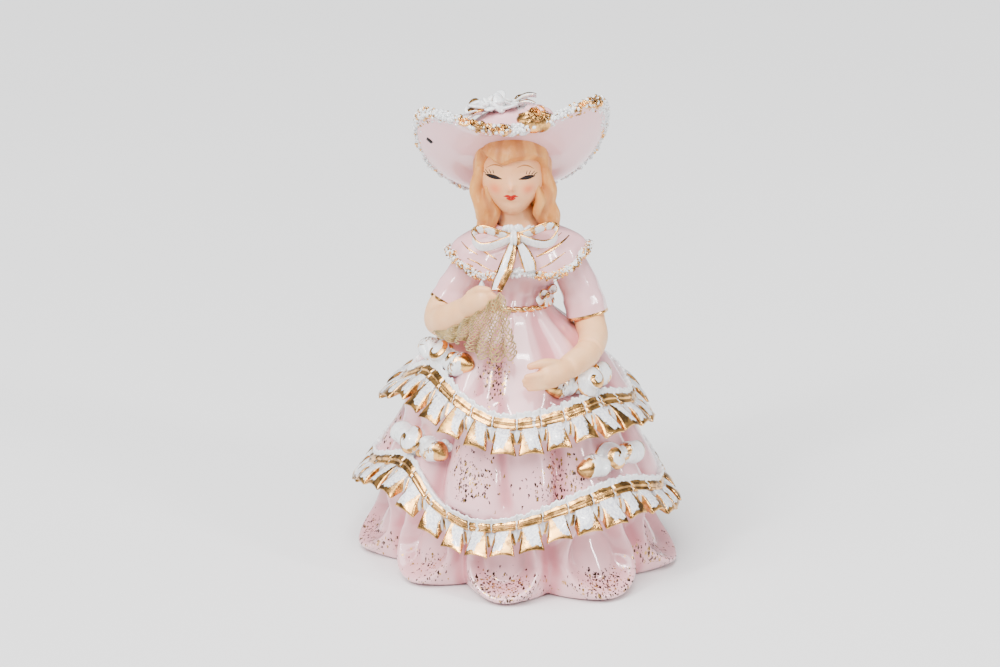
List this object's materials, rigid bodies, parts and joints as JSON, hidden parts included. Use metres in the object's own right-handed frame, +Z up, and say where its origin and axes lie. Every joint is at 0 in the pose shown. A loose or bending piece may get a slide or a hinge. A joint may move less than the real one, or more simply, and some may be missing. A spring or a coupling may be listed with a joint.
{
  "type": "figurine bell",
  "caption": "Porcelain table bell shaped as a standing lady: the hollow ruffled skirt is the bell, with a bead clapper on a wire.",
  "frame": {"origin": "centre of the foot rim on the surface it stands on", "axes": "+Z up, the figure faces -Y, her left hand is at +X"},
  "size_m": [0.0909, 0.0889, 0.1292],
  "materials": {
    "pink_porcelain": "glossy transparent glaze over pale pink body colour",
    "gilt_porcelain": "bright gold brushed over glazed white porcelain",
    "white_porcelain": "glossy white glaze with brushed gold",
    "bisque_flesh": "satin painted bisque",
    "bisque_hair": "matt painted bisque",
    "raw_porcelain": "unglazed porcelain",
    "net": "stiffened cotton net",
    "wire": "drawn wire",
    "bead_glaze": "glossy glaze"
  },
  "bodies": {
    "figure": {"skirt_bell": "pink_porcelain", "bodice": "pink_porcelain", "hat": "pink_porcelain", "capelet": "pink_porcelain", "right_sleeve": "pink_porcelain", "left_sleeve": "pink_porcelain", "waist_band": "gilt_porcelain", "upper_ruffle_band": "gilt_porcelain", "lower_ruffle_band": "gilt_porcelain", "hat_rose": "gilt_porcelain", "waist_bow": "white_porcelain", "hat_trim": "white_porcelain", "hat_flower": "white_porcelain", "hat_leaves": "white_porcelain", "capelet_trim": "white_porcelain", "bow_left_loop": "white_porcelain", "bow_right_loop": "white_porcelain", "bow_knot": "white_porcelain", "ribbon_long_tail": "white_porcelain", "ribbon_short_tail": "white_porcelain", "upper_ruffle_pleats": "white_porcelain", "lower_ruffle_pleats": "white_porcelain", "upper_right_rosette": "white_porcelain", "upper_right_buds": "white_porcelain", "upper_right_pad": "white_porcelain", "upper_left_rosette": "white_porcelain", "upper_left_buds": "white_porcelain", "upper_left_pad": "white_porcelain", "lower_right_rosette": "white_porcelain", "lower_right_buds": "white_porcelain", "lower_right_pad": "white_porcelain", "lower_left_rosette": "white_porcelain", "lower_left_buds": "white_porcelain", "lower_left_pad": "white_porcelain", "head": "bisque_flesh", "right_forearm": "bisque_flesh", "left_forearm": "bisque_flesh", "hair": "bisque_hair", "hanger_bar": "raw_porcelain", "lace_kerchief": "net"},
    "hanger_ring": {"hanger_ring": "wire"},
    "clapper": {"clapper_wire": "wire", "clapper_bead": "bead_glaze"}
  },
  "joints": [
    {"name": "ring_swing", "type": "hinge", "parent": "figure", "child": "hanger_ring", "pos_m": [0, 0, 0.06], "axis": [1, 0, 0], "range_deg": [-26, 26]},
    {"name": "clapper_swing", "type": "hinge", "parent": "hanger_ring", "child": "clapper", "pos_m": [0, 0, 0.0556], "axis": [0, 1, 0], "range_deg": [-26, 26]}
  ]
}
